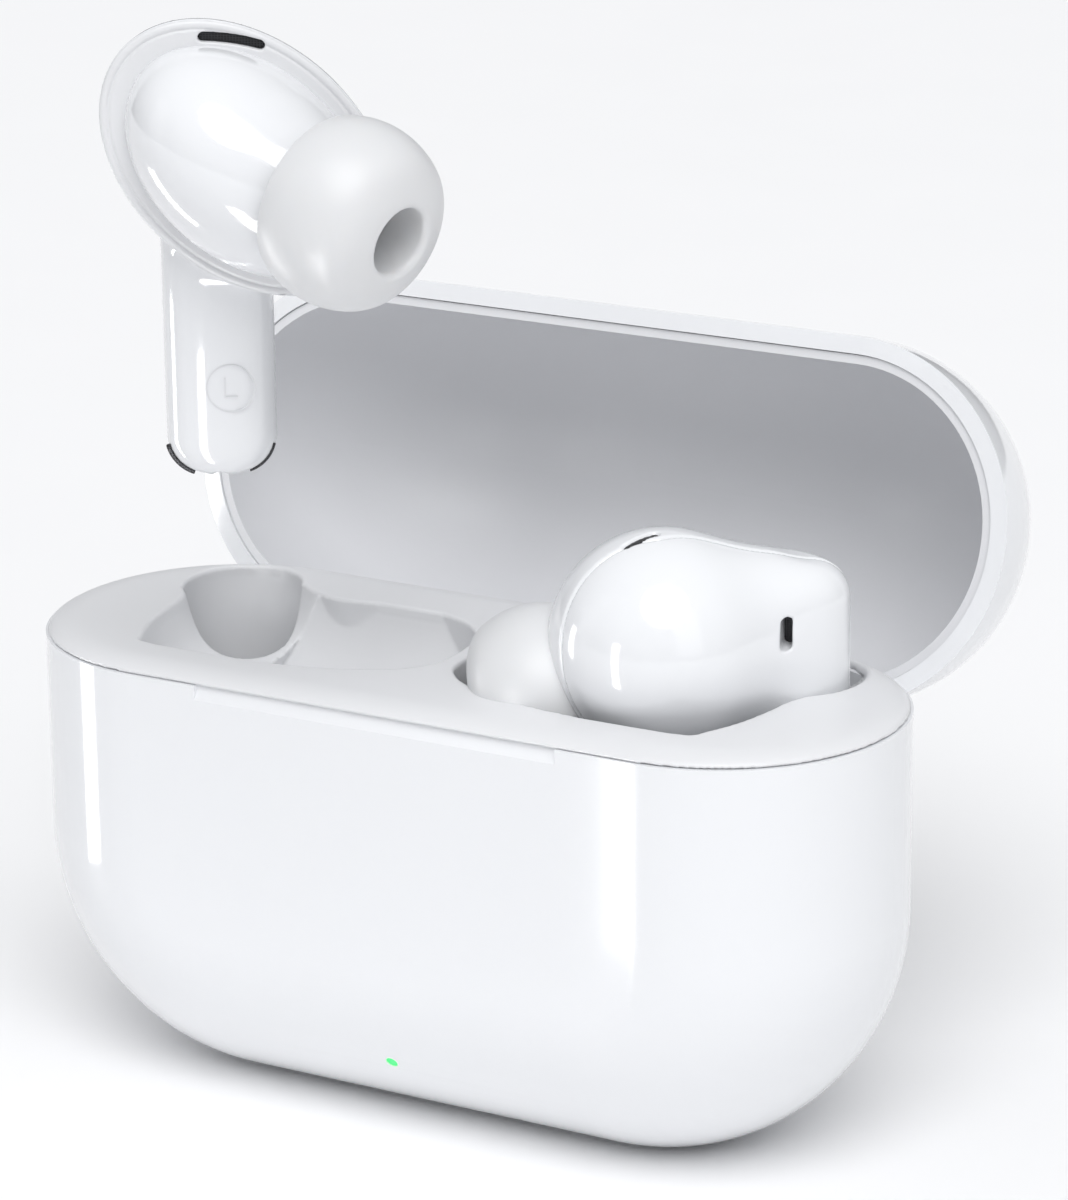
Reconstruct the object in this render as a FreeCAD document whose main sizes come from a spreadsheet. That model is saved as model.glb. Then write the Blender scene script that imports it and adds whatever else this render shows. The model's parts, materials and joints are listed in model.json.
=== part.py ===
import FreeCAD, Part
import math
import os
import re
import Sketcher
from FreeCAD import Placement, Rotation, Vector

# Wireless earbuds case with its two earbuds, in millimetres.
# Origin: middle of the charge port, level with the flat the case stands on.
# +Z is up, the front faces -Y and the right-hand pocket is towards +X.
# The lid stands open on its hinge, the right earbud is seated and the left one hovers above the front.

SIZES = {
    # whole case, shaped like a pebble
    "case_w": 62.3, "case_t": 24.9, "case_top": 50.7, "case_bottom": -0.5,
    "corner_low": 17.1, "corner_high": 19.7, "edge_land": 0.05, "wall": 1.3,
    "seam_y": 1.9, "shell_top": 30.1, "deck_top": 30.9, "deck_inset": 0.15, "deck_edge": 0.7,
    "lid_bottom": 31.0, "lid_wall": 1.2, "liner_out": 1.25, "liner_in": 1.85, "liner_bottom": 31.2,
    "scoop_w": 27.0, "scoop_r": 2.2, "scoop_y": -14.1, "scoop_z": 30.6,
    # pockets in the deck tray
    "stem_x": 21.4, "stem_y": 5.6, "well_r": 3.9, "well_floor": 10.58, "well_edge": 2.7, "tray_wall": 0.55,
    "bowl_floor": 23.2, "bowl_front": -8.2, "bowl_back": 7.6,
    "tip_bowl_r": 6.3, "tip_bowl_x": 6.9, "tip_bowl_y": -1.9,
    "head_bowl_r": 7.6, "head_bowl_x": 15.6, "head_bowl_y": -0.6, "bowl_link": 2.0,
    # hinge
    "hinge_y": 10.94, "hinge_z": 28.23, "lid_open": 105.7, "pin_r": 0.75, "pin_gap": 0.04,
    "barrel_r": 1.45, "ear_r": 1.3, "ear_in": 7.2, "ear_out": 9.1, "barrel_out": 7.1, "barrel_in": 2.2,
    "notch_w": 9.5, "notch_low": 25.9, "notch_y": 11.7, "leaf_in": 11.8, "leaf_out": 12.4,
    "leaf_top": 35.5, "leaf_w": 9.35, "leaf_gap": 0.05, "spring_r": 1.3, "bracket_low": 22.8,
    "bracket_in": 8.8, "bracket_out": 9.4, "screw_x": 5.0, "screw_r": 0.6, "screw_up": 1.3,
    "screw_head_r": 1.1, "screw_head_t": 0.6,
    # inside the case
    "board_w": 15.0, "board_y": 1.65, "board_t": 0.8, "board_low": 2.6, "board_high": 20.5,
    "cell_w": 14.0, "cell_y": -8.4, "cell_t": 6.0, "cell_low": 8.8, "cell_high": 21.0, "foam_t": 1.0,
    "chip_x": -9.0, "chip_w": 5.0, "chip_z": 12.0, "chip_t": 0.9,
    "hall_x": 5.0, "hall_w": 2.9, "hall_z": 18.0, "hall_h": 1.6, "hall_t": 1.1, "switch_w": 4.5,
    "tongue_w": 6.6, "tongue_t": 0.7, "tongue_in": 1.0, "tongue_out": 0.5,
    "usb_w": 8.94, "usb_t": 3.16, "usb_low": 0.25, "usb_high": 7.4, "usb_skin": 0.3,
    "flex_w": 23.2, "flex_z": 8.2, "flex_t": 0.2, "flex_y": 4.3, "flex_back": 6.6,
    "charge_pitch": 2.6, "charge_r": 0.45, "charge_gap": 0.05,
    "magnet_r": 2.0, "magnet_t": 1.5, "magnet_y": -1.5, "latch_w": 5.0, "latch_z": 26.2, "latch_top": 29.6,
    "latch_in": -9.2, "latch_out": -10.7, "lid_latch_in": -10.75, "lid_latch_out": -11.6,
    "lid_latch_low": 32.2, "lid_latch_high": 34.8, "latch_gap": 0.04,
    "light_r": 0.4, "light_angle": 31.0, "light_len": 2.6, "light_skin": 12.4, "light_gap": 0.03,
    "led_w": 1.6, "led_d": 1.0, "led_t": 0.6, "led_gap": 0.02,
    "button_r": 2.4, "button_z": 13.0, "button_gap": 0.08, "button_stem_r": 0.8, "button_cap_t": 1.5,
    "button_crown": 0.35, "switch_y": 4.3, "button_travel": 0.25,
    # one earbud, from the bottom of its stem
    "stem_r": 3.5, "stem_flat": 3.1, "stem_top": 28.2, "stem_edge": 2.5, "stem_bore": 2.6,
    "head_z": 22.8, "ring_y": 5.0, "ring_r": 8.2, "ring_h": 8.4, "ring_t": 0.8, "ring_bore": 5.9,
    "dome_y": 4.5, "skin": 0.9, "bulge_r": 6.6, "bulge_y": 8.0,
    "offset_left": 2.0, "offset_right": 5.0,
    "tip_yaw": 41.6, "tip_dip": 15.7, "tip_x": 6.6, "tip_y": 6.6, "tip_z": 3.6,
    "tip_r": 5.9, "tip_skirt": 2.6, "tip_front": 4.6, "tip_skin": 0.6, "tip_core": 3.3, "tip_room": 2.4,
    "tip_bore": 2.5,
    "nozzle_r": 2.46, "nozzle_wall": 0.5, "nozzle_end": 1.6, "nozzle_root": 6.4, "mesh_t": 0.3,
    "mesh_in": 0.6,
    "vent_w": 2.0, "vent_low": 7.1, "vent_high": 7.7, "pill_r": 0.35, "pill_len": 1.5, "pill_z": 24.7,
    "pill_turn": 36.0, "pill_back": 0.2, "pill_cut": 2.0, "pill_deep": 0.7,
    "pad_r": 0.6, "pad_low": 0.12, "pad_high": 1.0,
    "coin_r": 4.1, "coin_back": 4.4, "coin_front": 8.0, "driver_r": 2.5, "driver_front": 10.0,
    "driver_gap": 0.1,
    "bud_board_w": 1.9, "bud_board_t": 0.8, "bud_board_low": 2.0, "bud_board_high": 20.0,
    # where the earbuds are
    "right_yaw": -17.0, "seat_z": 10.6, "left_yaw": 30.5, "left_x": -9.3, "left_y": -14.5, "left_z": 46.0,
}

doc = FreeCAD.newDocument("earbuds_case")
sheet = doc.addObject("Spreadsheet::Sheet", "dims")
for row, (alias, size) in enumerate(SIZES.items(), start=1):
    sheet.set(f"A{row}", alias)
    sheet.set(f"B{row}", str(size))
    sheet.setAlias(f"B{row}", alias)
doc.recompute()

nodes = []
up = Vector(0, 0, 1)


def value(alias):
    """One driving size, read back from the sheet."""
    return float(sheet.get(alias))


def bind(thing, prop, text):
    """Binds a property to an expression written with the sheet's aliases."""
    def spelt(word):
        return f"dims.{word.group()}" if word.group() in SIZES else word.group()
    words = re.sub(r"[a-z][a-z0-9_]*", spelt, text)
    thing.setExpression(prop, words)


def mirrored(side, low, high):
    """The low and high of a span in X, mirrored for side -1."""
    return (low, high) if side > 0 else (f"-({high})", f"-({low})")


def box(name, x, y, z):
    solid = doc.addObject("Part::Box", name)
    for axis, size, (low, high) in zip("xyz", ("Length", "Width", "Height"), (x, y, z)):
        bind(solid, f"Placement.Base.{axis}", low)
        bind(solid, size, f"({high}) - ({low})")
    return solid


def rod(name, radius, start, length, axis="z"):
    """A cylinder from start, a triple of expressions, along a row axis."""
    solid = doc.addObject("Part::Cylinder", name)
    turns = {"z": Rotation(), "x": Rotation(Vector(0, 1, 0), 90), "y": Rotation(Vector(1, 0, 0), -90)}
    solid.Placement = Placement(Vector(), turns[axis])
    bind(solid, "Radius", radius)
    bind(solid, "Height", length)
    for letter, place in zip("xyz", start):
        bind(solid, f"Placement.Base.{letter}", place)
    return solid


def aimed_rod(name, radius, length, base, direction):
    """A cylinder from a point along any direction."""
    solid = doc.addObject("Part::Cylinder", name)
    bind(solid, "Radius", radius)
    bind(solid, "Height", length)
    solid.Placement = Placement(base, Rotation(up, direction))
    return solid


def aimed_block(name, sizes, base, direction):
    """A block that stands on a point along any direction, centred across it."""
    solid = doc.addObject("Part::Box", name)
    for prop, size in zip(("Length", "Width", "Height"), sizes):
        bind(solid, prop, size)
    corner = Placement(Vector(-value(sizes[0]) / 2, -value(sizes[1]) / 2, 0), Rotation())
    solid.Placement = Placement(base, Rotation(up, direction)) * corner
    return solid


def ellipsoid(name, centre, radii):
    solid = doc.addObject("Part::Ellipsoid", name)
    solid.Angle1 = -90
    solid.Angle2 = 90
    solid.Angle3 = 360
    for prop, radius in zip(("Radius2", "Radius3", "Radius1"), radii):
        bind(solid, prop, radius)
    for letter, place in zip("xyz", centre):
        bind(solid, f"Placement.Base.{letter}", place)
    return solid


def ball(name, radius, centre):
    solid = doc.addObject("Part::Sphere", name)
    bind(solid, "Radius", radius)
    solid.Placement.Base = centre
    return solid


def fuse(name, *solids):
    joined = doc.addObject("Part::MultiFuse", name)
    joined.Shapes = list(solids)
    joined.Refine = True
    return joined


def cut(name, base, *tools):
    tool = tools[0] if len(tools) == 1 else fuse(name + "_tools", *tools)
    result = doc.addObject("Part::Cut", name)
    result.Base = base
    result.Tool = tool
    return result


def common(name, *solids):
    result = doc.addObject("Part::MultiCommon", name)
    result.Shapes = list(solids)
    return result


def group(name, *solids):
    """Separate solids that share one node."""
    result = doc.addObject("Part::Compound", name)
    result.Links = list(solids)
    return result


def node(solid, label, placement=None):
    """Marks an object as a sub-part, which is written to parts/, moved as a whole if a placement is given."""
    if placement is not None:
        solid = group(solid.Name + "_placed", solid)
        solid.Placement = placement
    solid.Label = label
    nodes.append(solid)
    return solid


def origin_plane(body, role):
    return next(item for item in body.Origin.OriginFeatures if item.Role == role)


def new_sketch(body, role, height=None):
    sketch = body.newObject("Sketcher::SketchObject", body.Name + "_sketch")
    sketch.AttachmentSupport = (origin_plane(body, role), [""])
    sketch.MapMode = "FlatFace"
    if height is not None:
        bind(sketch, "AttachmentOffset.Base.z", height)
    return sketch


def dimension(sketch, name, text, *constraint):
    index = sketch.addConstraint(Sketcher.Constraint(*constraint))
    sketch.renameConstraint(index, name)
    bind(sketch, f"Constraints.{name}", text)


def rounded_outline(sketch, half_w, low, high, r_low, r_high, texts):
    """A closed outline with four rounded corners; texts bind its width, ends and radii."""
    corners = [(half_w - r_high, high - r_high, r_high), (r_high - half_w, high - r_high, r_high),
               (r_low - half_w, low + r_low, r_low), (half_w - r_low, low + r_low, r_low)]
    for turn, (x, y, radius) in enumerate(corners):
        circle = Part.Circle(Vector(x, y, 0), Vector(0, 0, 1), radius)
        start = turn * math.pi / 2
        sketch.addGeometry(Part.ArcOfCircle(circle, start, start + math.pi / 2), False)
    for turn in range(4):
        first, second = sketch.Geometry[turn], sketch.Geometry[(turn + 1) % 4]
        sketch.addGeometry(Part.LineSegment(first.EndPoint, second.StartPoint), False)
    for turn in range(4):
        line = 4 + turn
        sketch.addConstraint(Sketcher.Constraint("Tangent", turn, 2, line, 1))
        sketch.addConstraint(Sketcher.Constraint("Tangent", line, 2, (turn + 1) % 4, 1))
        sketch.addConstraint(Sketcher.Constraint("Horizontal" if turn % 2 == 0 else "Vertical", line))
    width, bottom, top, radius_low, radius_high = texts
    dimension(sketch, "right", width, "DistanceX", -1, 1, 7, 1, half_w)
    dimension(sketch, "left", width, "DistanceX", 5, 1, -1, 1, half_w)
    dimension(sketch, "top", top, "DistanceY", -1, 1, 4, 1, high)
    dimension(sketch, "bottom", bottom, "DistanceY", -1, 1, 6, 1, low)
    for turn, text in enumerate((radius_high, radius_high, radius_low, radius_low)):
        dimension(sketch, f"corner{turn}", text, "Radius", turn, corners[turn][2])


def round_edges(body, feature, radius, chosen):
    """Rounds the edges of a feature that the test picks."""
    doc.recompute()
    names = [f"Edge{i}" for i, edge in enumerate(feature.Shape.Edges, start=1) if chosen(edge.BoundBox)]
    fillet = body.newObject("PartDesign::Fillet", body.Name + "_round")
    fillet.Base = (feature, names)
    bind(fillet, "Radius", radius)
    body.Tip = fillet
    return fillet


def pebble(name, inset):
    """The case's outer form, or the same form set in by an expression."""
    body = doc.addObject("PartDesign::Body", name)
    sketch = new_sketch(body, "XZ_Plane")
    depth = float(sheet.get(inset)) if inset in SIZES else float(inset)
    rounded_outline(sketch, value("case_w") / 2 - depth, value("case_bottom") + depth,
                    value("case_top") - depth, value("corner_low") - depth, value("corner_high") - depth,
                    (f"case_w / 2 - {inset}", f"case_bottom + {inset}", f"case_top - {inset}",
                     f"corner_low - {inset}", f"corner_high - {inset}"))
    pad = body.newObject("PartDesign::Pad", name + "_pad")
    pad.Profile = sketch
    pad.SideType = "Symmetric"
    bind(pad, "Length", f"case_t - 2 * {inset}")
    half = value("case_t") / 2 - depth
    round_edges(body, pad, f"case_t / 2 - {inset} - edge_land", lambda b: abs(abs(b.YMin) - half) < 1e-4
                and b.YLength < 1e-4)
    return body


def deck_slab(name, inset, low, high, edge=None):
    """A slab with the case's plan outline, with its top edge rounded if edge is given."""
    body = doc.addObject("PartDesign::Body", name)
    sketch = new_sketch(body, "XY_Plane", low)
    depth = value(inset)
    half_t = value("case_t") / 2 - depth
    rounded_outline(sketch, value("case_w") / 2 - depth, -half_t, half_t, half_t - value("edge_land"),
                    half_t - value("edge_land"),
                    (f"case_w / 2 - {inset}", f"{inset} - case_t / 2", f"case_t / 2 - {inset}",
                     f"case_t / 2 - {inset} - edge_land", f"case_t / 2 - {inset} - edge_land"))
    pad = body.newObject("PartDesign::Pad", name + "_pad")
    pad.Profile = sketch
    bind(pad, "Length", f"{high} - {low}")
    if edge:
        top = value(high)
        round_edges(body, pad, edge, lambda b: abs(b.ZMin - top) < 1e-4 and b.ZLength < 1e-4)
    return body


def rounded_post(name, radius, height, edge, centre, round_top=True):
    """A round post with softly rounded ends, from centre upwards."""
    body = doc.addObject("PartDesign::Body", name)
    sketch = new_sketch(body, "XY_Plane")
    sketch.addGeometry(Part.Circle(Vector(), Vector(0, 0, 1), 3.0), False)
    sketch.addConstraint(Sketcher.Constraint("Coincident", 0, 3, -1, 1))
    dimension(sketch, "radius", radius, "Radius", 0, 3.0)
    pad = body.newObject("PartDesign::Pad", name + "_pad")
    pad.Profile = sketch
    bind(pad, "Length", height)
    round_edges(body, pad, edge, lambda b: b.ZLength < 1e-4 and (round_top or b.ZMin < 1e-4))
    for letter, place in zip("xyz", centre):
        bind(body, f"Placement.Base.{letter}", place)
    return body


WIDE = ("-case_w", "case_w")
DEEP = ("-case_t", "case_t")


def build_shells():
    """The glossy front and rear mouldings of the case body."""
    outer = pebble("body_form", "0")
    inner = pebble("body_hollow", "wall")
    front_half = box("front_half", WIDE, ("-case_t", "seam_y"), ("0", "shell_top"))
    rear_half = box("rear_half", WIDE, ("seam_y", "case_t"), ("0", "shell_top"))
    scoop = rod("finger_scoop", "scoop_r", ("-scoop_w / 2", "scoop_y", "scoop_z"), "scoop_w", "x")
    angle = math.radians(value("light_angle"))
    outward = Vector(0, -math.cos(angle), -math.sin(angle))
    middle = Vector(0, 0, value("case_bottom") + value("case_t") / 2)
    start = value("light_skin") - value("light_len")
    light_foot = middle + outward * start
    light_hole = aimed_rod("light_hole", "light_r + light_gap", "light_len * 2", light_foot, outward)
    port = box("port_cut", ("-usb_w / 2 - leaf_gap", "usb_w / 2 + leaf_gap"),
               ("-usb_t / 2 - leaf_gap", "usb_t / 2 + leaf_gap"), ("-1", "wall * 3"))
    hollow = cut("body_shell", outer, inner)
    node(cut("front_shell", common("front_blank", hollow, front_half), scoop, light_hole, port),
         "case_front_shell")
    recess = box("hinge_recess", ("-notch_w", "notch_w"), ("bracket_in", "case_t"), ("notch_low", "case_top"))
    button_hole = rod("button_hole", "button_r + button_gap", ("0", "case_t / 4", "button_z"), "case_t", "y")
    node(cut("rear_shell", common("rear_blank", hollow, rear_half), recess, button_hole, port),
         "case_rear_shell")
    pipe = aimed_rod("pipe", "light_r", "light_len", light_foot, outward)
    node(common("pipe_end", pipe, outer), "light_pipe")
    spot = middle + outward * (start - value("led_t") - value("led_gap"))
    node(aimed_block("led", ("led_w", "led_d", "led_t"), spot, outward), "status_led")


def pocket(name, side, grow, floor_drop):
    """One earbud pocket as a solid: tip bowl, head bowl and stem well, grown by an expression."""
    low = f"bowl_floor - {floor_drop}"
    sign = "" if side > 0 else "-"
    depth = f"deck_top + 1 - ({low})"
    tip = rod(name + "_tip", f"tip_bowl_r + {grow}", (f"{sign}tip_bowl_x", "tip_bowl_y", low), depth)
    head = rod(name + "_head", f"head_bowl_r + {grow}", (f"{sign}head_bowl_x", "head_bowl_y", low), depth)
    link = box(name + "_link", mirrored(side, "tip_bowl_x", "head_bowl_x + bowl_link"),
               (f"bowl_front - {grow}", f"bowl_back + {grow}"), (low, "deck_top + 1"))
    well = rounded_post(name + "_well", f"well_r + {grow}", f"deck_top + 1 - (well_floor - {floor_drop})",
                        f"well_edge + {grow}", (f"{sign}stem_x", "stem_y", f"well_floor - {floor_drop}"),
                        round_top=False)
    return fuse(name, tip, head, link, well)


def charge_pair(name, side, radius, low, length):
    """Two contacts under a well, turned as the seated earbud is."""
    rods = [rod(f"{name}_{step}", radius, (f"{step} * charge_pitch / 2", "0", low), length)
            for step in (-1, 1)]
    pair = group(name, *rods)
    pair.Placement = Placement(Vector(side * value("stem_x"), value("stem_y"), 0),
                               Rotation(up, side * value("right_yaw")))
    return pair


def build_tray():
    """The satin deck with its raised rounded rim and the two pockets."""
    deck = deck_slab("deck", "deck_inset", "shell_top", "deck_top", "deck_edge")
    outers = [pocket("left_pocket_wall", -1, "tray_wall", "tray_wall"),
              pocket("right_pocket_wall", 1, "tray_wall", "tray_wall")]
    trim = box("pocket_trim", WIDE, DEEP, ("0", "shell_top + 0.2"))
    inners = [pocket("left_pocket", -1, "0", "0"), pocket("right_pocket", 1, "0", "0")]
    hinge_room = box("deck_hinge_cut", ("-notch_w", "notch_w"), ("notch_y", "case_t"), ("0", "case_top"))
    pins = [charge_pair(f"pin_holes{side + 1}", side, "charge_r + charge_gap", "well_floor - 2", "4")
            for side in (-1, 1)]
    walls = common("pocket_walls", fuse("pocket_blank", *outers), trim)
    node(cut("tray", fuse("tray_blank", deck, walls), *inners, hinge_room, *pins), "deck_tray")


def build_inside():
    """Battery, boards, contacts and magnets, which the shells hide."""
    node(box("cell", ("-cell_w", "cell_w"), ("cell_y", "cell_y + cell_t"), ("cell_low", "cell_high")),
         "battery_cell")
    node(box("foam", ("-cell_w", "cell_w"), ("cell_y + cell_t", "cell_y + cell_t + foam_t"),
             ("cell_low", "cell_high")), "battery_foam")
    face = "board_y + board_t"
    node(box("board", ("-board_w", "board_w"), ("board_y", face), ("board_low", "board_high")), "main_board")
    node(box("chip", ("chip_x", "chip_x + chip_w"), (face, f"{face} + chip_t"),
             ("chip_z", "chip_z + chip_w")), "charge_controller")
    node(box("hall", ("hall_x", "hall_x + hall_w"), (face, f"{face} + hall_t"),
             ("hall_z", "hall_z + hall_h")), "hall_sensor")
    node(box("switch", ("-switch_w / 2", "switch_w / 2"), (face, "switch_y"),
             ("button_z - switch_w / 2", "button_z + switch_w / 2")), "tact_switch")
    usb = box("usb_body", ("-usb_w / 2", "usb_w / 2"), ("-usb_t / 2", "usb_t / 2"), ("usb_low", "usb_high"))
    usb_hollow = box("usb_hollow", ("-usb_w / 2 + usb_skin", "usb_w / 2 - usb_skin"),
                     ("-usb_t / 2 + usb_skin", "usb_t / 2 - usb_skin"), ("0", "usb_high - 1"))
    tongue = box("usb_tongue", ("-tongue_w / 2", "tongue_w / 2"), ("-tongue_t / 2", "tongue_t / 2"),
                 ("usb_low + tongue_in", "usb_high - tongue_out"))
    node(fuse("usb", cut("usb_can", usb, usb_hollow), tongue), "usb_c_receptacle")
    node(box("contact_strip", ("-flex_w", "flex_w"), ("flex_y", "flex_back"), ("flex_z", "flex_z + flex_t")),
         "contact_flex")
    for side, word in ((-1, "left"), (1, "right")):
        node(charge_pair(f"{word}_pins", side, "charge_r", "flex_z + flex_t",
                         "seat_z + pad_low / 2 - (flex_z + flex_t)"), f"{word}_charge_pins")
        node(rod(f"{word}_magnet", "magnet_r", (f"{side} * head_bowl_x", "magnet_y",
                                                "bowl_floor - tray_wall - magnet_t"), "magnet_t"),
             f"{word}_pocket_magnet")
    node(box("latch", ("-latch_w", "latch_w"), ("latch_out", "latch_in"), ("latch_z", "latch_top")),
         "case_latch_magnet")


def build_hinge():
    """Bracket, pin, spring and screws on the body side."""
    ears = [rod(f"ear{side}", "ear_r", (start, "hinge_y", "hinge_z"), "ear_out - ear_in", "x")
            for side, start in enumerate(("-ear_out", "ear_in"))]
    arms = [box(f"arm{side}", mirrored(side * 2 - 1, "ear_in", "ear_out"), ("bracket_in", "hinge_y"),
                ("hinge_z - ear_r", "hinge_z + ear_r")) for side in (0, 1)]
    plate = box("plate", ("-ear_out", "ear_out"), ("bracket_in", "bracket_out"),
                ("bracket_low", "hinge_z + ear_r"))
    bore = rod("bracket_bore", "pin_r", ("-ear_out", "hinge_y", "hinge_z"), "ear_out * 2", "x")
    holes = [rod(f"screw_hole{side}", "screw_r", (f"{side * 2 - 1} * screw_x", "bracket_in - 1",
                                                  "bracket_low + screw_up"), "4", "y") for side in (0, 1)]
    node(cut("bracket", fuse("bracket_blank", plate, *ears, *arms), bore, *holes), "hinge_bracket")
    node(rod("pin", "pin_r", ("-ear_out", "hinge_y", "hinge_z"), "ear_out * 2", "x"), "hinge_pin")
    coil = rod("coil", "spring_r", ("-barrel_in + 0.1", "hinge_y", "hinge_z"), "2 * barrel_in - 0.2", "x")
    coil_bore = rod("coil_bore", "pin_r + 0.05", ("-barrel_in", "hinge_y", "hinge_z"), "2 * barrel_in", "x")
    node(cut("spring", coil, coil_bore), "hinge_spring")
    screws = []
    for side in (0, 1):
        place = (f"{side * 2 - 1} * screw_x", "bracket_in - screw_head_t", "bracket_low + screw_up")
        shank = rod(f"shank{side}", "screw_r", place, "bracket_out - bracket_in + 2 * screw_head_t", "y")
        head = rod(f"screw_head{side}", "screw_head_r", place, "screw_head_t", "y")
        screws.append(fuse(f"screw{side}", shank, head))
    node(group("screws", *screws), "hinge_screws")


def build_button():
    """The pairing button at the back, pressed towards the front."""
    cap = rod("button_cap", "button_r", ("0", "0", "button_z"), "case_t", "y")
    skin = common("button_skin", cap, pebble("button_form", "0"),
                  box("button_slab", WIDE, ("case_t / 2 - button_crown - button_cap_t", "case_t"),
                      ("0", "case_top")))
    stem = rod("button_stem", "button_stem_r", ("0", "switch_y + button_travel", "button_z"),
               "case_t / 2 - 1 - switch_y - button_travel", "y")
    node(fuse("button", skin, stem), "pairing_button")


def build_lid():
    """The lid, modelled closed and then swung open about the hinge pin."""
    hinge = Vector(0, value("hinge_y"), value("hinge_z"))
    swing = Placement(Vector(), Rotation(Vector(1, 0, 0), -value("lid_open")), hinge)
    above = box("lid_half", WIDE, DEEP, ("lid_bottom", "case_top"))
    liner_above = box("liner_half", WIDE, DEEP, ("liner_bottom", "case_top"))
    latch_room = box("lid_latch_room", ("-latch_w - latch_gap", "latch_w + latch_gap"),
                     ("lid_latch_out - latch_gap", "lid_latch_in + latch_gap"),
                     ("lid_latch_low - latch_gap", "lid_latch_high + latch_gap"))
    leaf_room = box("leaf_room", ("-leaf_w - leaf_gap", "leaf_w + leaf_gap"),
                    ("leaf_in - leaf_gap", "case_t"), ("0", "leaf_top + leaf_gap"))
    outer = pebble("lid_form", "0")
    hollow = pebble("lid_hollow", "lid_wall")
    shell = cut("lid_skin", outer, hollow)
    node(cut("lid_outer", common("lid_blank", shell, above), latch_room, leaf_room), "lid_shell", swing)
    liner = cut("liner_skin", pebble("liner_form", "liner_out"), pebble("liner_hollow", "liner_in"))
    node(cut("lid_inner", common("liner_blank", liner, liner_above), latch_room), "lid_liner", swing)
    node(box("lid_latch", ("-latch_w", "latch_w"), ("lid_latch_out", "lid_latch_in"),
             ("lid_latch_low", "lid_latch_high")), "lid_latch_magnet", swing)
    barrels = [rod(f"barrel{side}", "barrel_r", (start, "hinge_y", "hinge_z"), "barrel_out - barrel_in", "x")
               for side, start in enumerate(("-barrel_out", "barrel_in"))]
    roots = [box(f"leaf_root{side}", mirrored(side * 2 - 1, "barrel_in", "barrel_out"),
                 ("hinge_y", "leaf_out"), ("hinge_z", "hinge_z + 1.2")) for side in (0, 1)]
    plate = box("leaf_plate", ("-leaf_w", "leaf_w"), ("leaf_in", "leaf_out"), ("hinge_z + 0.2", "leaf_top"))
    ear_room = [box(f"ear_room{side}", mirrored(side * 2 - 1, "barrel_out", "leaf_w + 1"),
                    ("hinge_y - 3", "case_t"), ("0", "hinge_z + ear_r + 0.6")) for side in (0, 1)]
    ear_room.append(box("spring_room", ("-barrel_in", "barrel_in"), ("hinge_y - 3", "case_t"),
                        ("0", "hinge_z + spring_r + 0.3")))
    bore = rod("leaf_bore", "pin_r + pin_gap", ("-ear_out", "hinge_y", "hinge_z"), "ear_out * 2", "x")
    node(cut("leaf", fuse("leaf_blank", plate, *barrels, *roots), bore, *ear_room), "lid_hinge_leaf", swing)


def ear_tip(name):
    """A silicone tip about +Z: a domed cup with a core that grips the nozzle."""
    slab = rod(name + "_slab", "tip_r + 1", ("0", "0", "-tip_skirt"), "tip_skirt + tip_front")
    cup = common(name + "_form", ball(name + "_ball", "tip_r", Vector()), slab)
    room_slab = rod(name + "_room_slab", "tip_r + 1", ("0", "0", "-tip_skirt - 1"),
                    "tip_skirt + 1 + tip_room")
    room = common(name + "_room", ball(name + "_room_ball", "tip_r - tip_skin", Vector()), room_slab)
    core = rod(name + "_core", "tip_core", ("0", "0", "-tip_skirt - 1"), "tip_skirt + tip_front")
    bore = rod(name + "_bore", "tip_bore", ("0", "0", "-tip_skirt - 1"), "tip_skirt + tip_front + 2")
    return cut(name, cup, cut(name + "_gap", room, core), bore)


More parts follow.
